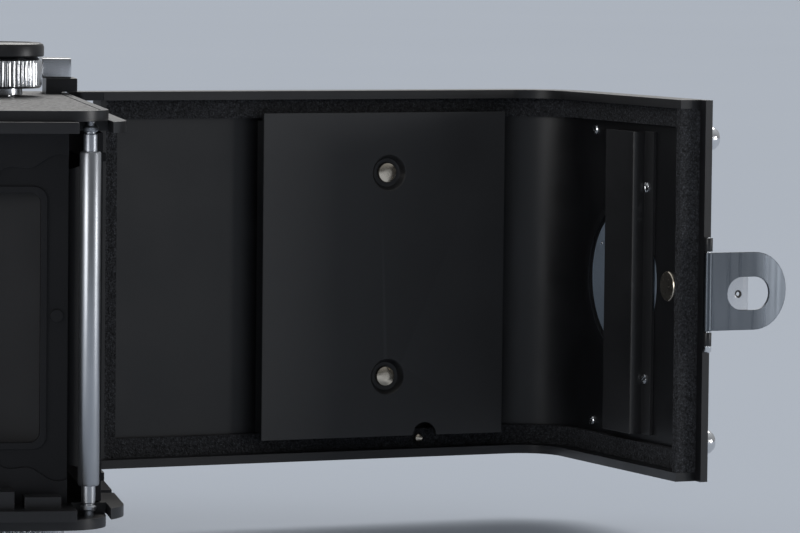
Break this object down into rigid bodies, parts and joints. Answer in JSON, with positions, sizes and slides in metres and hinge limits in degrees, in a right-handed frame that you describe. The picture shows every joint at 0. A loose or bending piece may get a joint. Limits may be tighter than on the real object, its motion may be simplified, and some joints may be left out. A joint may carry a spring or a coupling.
{
  "type": "twin lens reflex camera",
  "caption": "Roll-film twin lens reflex camera lying on its side with its L-shaped back swung open, showing pressure plate, foam light seal, rollers and lock.",
  "frame": {"origin": "middle of the footprint, on the surface that the two right-hand knobs rest on", "axes": "+X out of the camera's back, +Y out of its hood, +Z out of the user's left side, which faces up"},
  "size_m": [0.229, 0.1712, 0.1027],
  "materials": {
    "body_black": "satin black",
    "inner_black": "matt black",
    "leather_grain": "fine pebbled black covering",
    "light_seal_foam": "open-cell black foam",
    "plate_black": "satin black anodised",
    "nickel": "polished warm nickel",
    "polished_steel": "ground and polished",
    "chrome_trim": "satin chrome",
    "satin_steel": "dark satin",
    "aluminium_grey": "satin",
    "lens_glass": "coated",
    "screen_glass": "ground",
    "mirror_silver": "front-surface silvered",
    "spool_black": "matt"
  },
  "bodies": {
    "body": {"body_shell": "body_black", "left_covering": "leather_grain", "right_covering": "leather_grain", "film_gate": "inner_black", "light_box": "inner_black", "mirror_glass": "mirror_silver", "focusing_screen": "screen_glass", "hinge_pin": "polished_steel", "latch_stud": "chrome_trim", "lug_feet": "body_black", "strap_lugs": "chrome_trim", "accessory_shoe": "chrome_trim", "chamber_baffle": "inner_black", "hood_base": "body_black"},
    "back": {"door_shell": "body_black", "door_covering": "leather_grain", "foam_seal": "light_seal_foam", "plate_studs": "nickel", "plate_springs": "polished_steel", "guide_pin": "nickel", "inner_cover": "plate_black", "cover_screws": "chrome_trim", "tripod_socket": "polished_steel", "latch_rivet": "nickel", "door_feet": "chrome_trim", "latch_pin": "chrome_trim"},
    "plate": {"pressure_plate": "plate_black"},
    "lock": {"lock_disc": "aluminium_grey"},
    "hasp": {"latch_hasp": "satin_steel", "hasp_catch": "chrome_trim"},
    "lower_roller_body": {"lower_roller": "polished_steel"},
    "upper_roller_body": {"upper_roller": "polished_steel"},
    "winder": {"wind_knob": "chrome_trim", "take_up_spool": "spool_black"},
    "upper_knob": {"upper_spool_knob": "chrome_trim", "upper_knob_cap": "body_black"},
    "lower_knob": {"lower_spool_knob": "chrome_trim", "lower_knob_cap": "body_black"},
    "standard": {"lens_board": "body_black", "board_covering": "leather_grain", "guide_posts": "polished_steel", "viewing_barrel": "chrome_trim", "shutter_housing": "body_black", "taking_barrel": "chrome_trim", "filter_bayonets": "chrome_trim", "taking_glass": "lens_glass", "viewing_glass": "lens_glass", "shutter_blades": "inner_black", "board_screws": "chrome_trim"},
    "focuser": {"focus_knob": "chrome_trim"},
    "aperture": {"aperture_ring": "chrome_trim"},
    "speed": {"speed_ring": "chrome_trim"},
    "cocker": {"cocking_lever": "chrome_trim"},
    "release": {"release_button": "chrome_trim"},
    "leaf_left": {"hood_left": "body_black"},
    "leaf_right": {"hood_right": "body_black"},
    "leaf_rear": {"hood_rear": "body_black"},
    "leaf_front": {"hood_front": "body_black"},
    "magnifier": {"magnifier_arm": "body_black", "magnifier_lens": "lens_glass"}
  },
  "joints": [
    {"name": "back_swing", "type": "hinge", "parent": "body", "child": "back", "pos_m": [-0.02848, 0.02375, 0.053], "axis": [0, 0, 1], "range_deg": [-106, 54]},
    {"name": "hasp_swing", "type": "hinge", "parent": "back", "child": "hasp", "pos_m": [0.09648, -0.01043, 0.053], "axis": [0, 0, 1], "range_deg": [-180, 0]},
    {"name": "lock_turn", "type": "hinge", "parent": "back", "child": "lock", "pos_m": [0.08775, 0.02545, 0.053], "axis": [-0.9613, -0.2756, 0], "range_deg": [0, 90]},
    {"name": "plate_float", "type": "slide", "parent": "back", "child": "plate", "axis": [-0.2756, 0.9613, 0], "range_m": [0, 0.0012], "stiffness_N_per_m": 400, "springref_m": -0.0015},
    {"name": "lower_roller_turn", "type": "hinge", "parent": "body", "child": "lower_roller_body", "pos_m": [-0.03578, -0.07545, 0.053], "axis": [0, 0, 1], "continuous": true},
    {"name": "upper_roller_turn", "type": "hinge", "parent": "body", "child": "upper_roller_body", "pos_m": [-0.03508, -0.01285, 0.053], "axis": [0, 0, 1], "continuous": true},
    {"name": "wind_turn", "type": "hinge", "parent": "body", "child": "winder", "pos_m": [-0.04698, -0.00345, 0.053], "axis": [0, 0, 1], "continuous": true},
    {"name": "upper_knob_pull", "type": "slide", "parent": "body", "child": "upper_knob", "axis": [0, 0, 1], "range_m": [0, 0.009], "stiffness_N_per_m": 150, "springref_m": -0.004},
    {"name": "lower_knob_pull", "type": "slide", "parent": "body", "child": "lower_knob", "axis": [0, 0, 1], "range_m": [0, 0.009], "stiffness_N_per_m": 150, "springref_m": -0.004},
    {"name": "focus_slide", "type": "slide", "parent": "body", "child": "standard", "axis": [-1, 0, 0], "range_m": [0, 0.008]},
    {"name": "focus_turn", "type": "hinge", "parent": "body", "child": "focuser", "pos_m": [-0.07548, -0.04245, 0.053], "axis": [0, 0, 1], "range_deg": [0, 270]},
    {"name": "aperture_turn", "type": "hinge", "parent": "standard", "child": "aperture", "pos_m": [-0.10288, -0.04385, 0.053], "axis": [1, 0, 0], "range_deg": [0, 50]},
    {"name": "speed_turn", "type": "hinge", "parent": "standard", "child": "speed", "pos_m": [-0.10428, -0.04385, 0.053], "axis": [-1, 0, 0], "range_deg": [0, 40]},
    {"name": "cocking_swing", "type": "hinge", "parent": "standard", "child": "cocker", "pos_m": [-0.10568, -0.04385, 0.053], "axis": [1, 0, 0], "range_deg": [0, 45], "stiffness_Nm_per_rad": 0.01, "springref_deg": -17.19},
    {"name": "release_push", "type": "slide", "parent": "standard", "child": "release", "axis": [1, 0, 0], "range_m": [0, 0.0015], "stiffness_N_per_m": 300, "springref_m": -0.001},
    {"name": "hood_left_fold", "type": "hinge", "parent": "body", "child": "leaf_left", "pos_m": [-0.06548, 0.02875, 0.0849], "axis": [1, 0, 0], "range_deg": [-90, 0], "stiffness_Nm_per_rad": 0.004, "springref_deg": 57.3},
    {"name": "hood_right_fold", "type": "hinge", "parent": "body", "child": "leaf_right", "pos_m": [-0.06548, 0.02995, 0.0211], "axis": [-1, 0, 0], "range_deg": [-90, 0], "stiffness_Nm_per_rad": 0.004, "springref_deg": 57.3},
    {"name": "hood_rear_fold", "type": "hinge", "parent": "body", "child": "leaf_rear", "pos_m": [-0.03868, 0.03135, 0.053], "axis": [0, 0, -1], "range_deg": [-90, 0], "stiffness_Nm_per_rad": 0.004, "springref_deg": 57.3},
    {"name": "hood_front_fold", "type": "hinge", "parent": "body", "child": "leaf_front", "pos_m": [-0.09208, 0.03595, 0.053], "axis": [0, 0, 1], "range_deg": [-90, 0], "stiffness_Nm_per_rad": 0.004, "springref_deg": 57.3},
    {"name": "magnifier_swing", "type": "hinge", "parent": "leaf_front", "child": "magnifier", "pos_m": [-0.09108, 0.07755, 0.053], "axis": [0, 0, 1], "range_deg": [0, 90]}
  ],
  "couplings": [
    {"joint": "focus_turn", "follows": "focus_slide", "rad_per_m": 589}
  ]
}
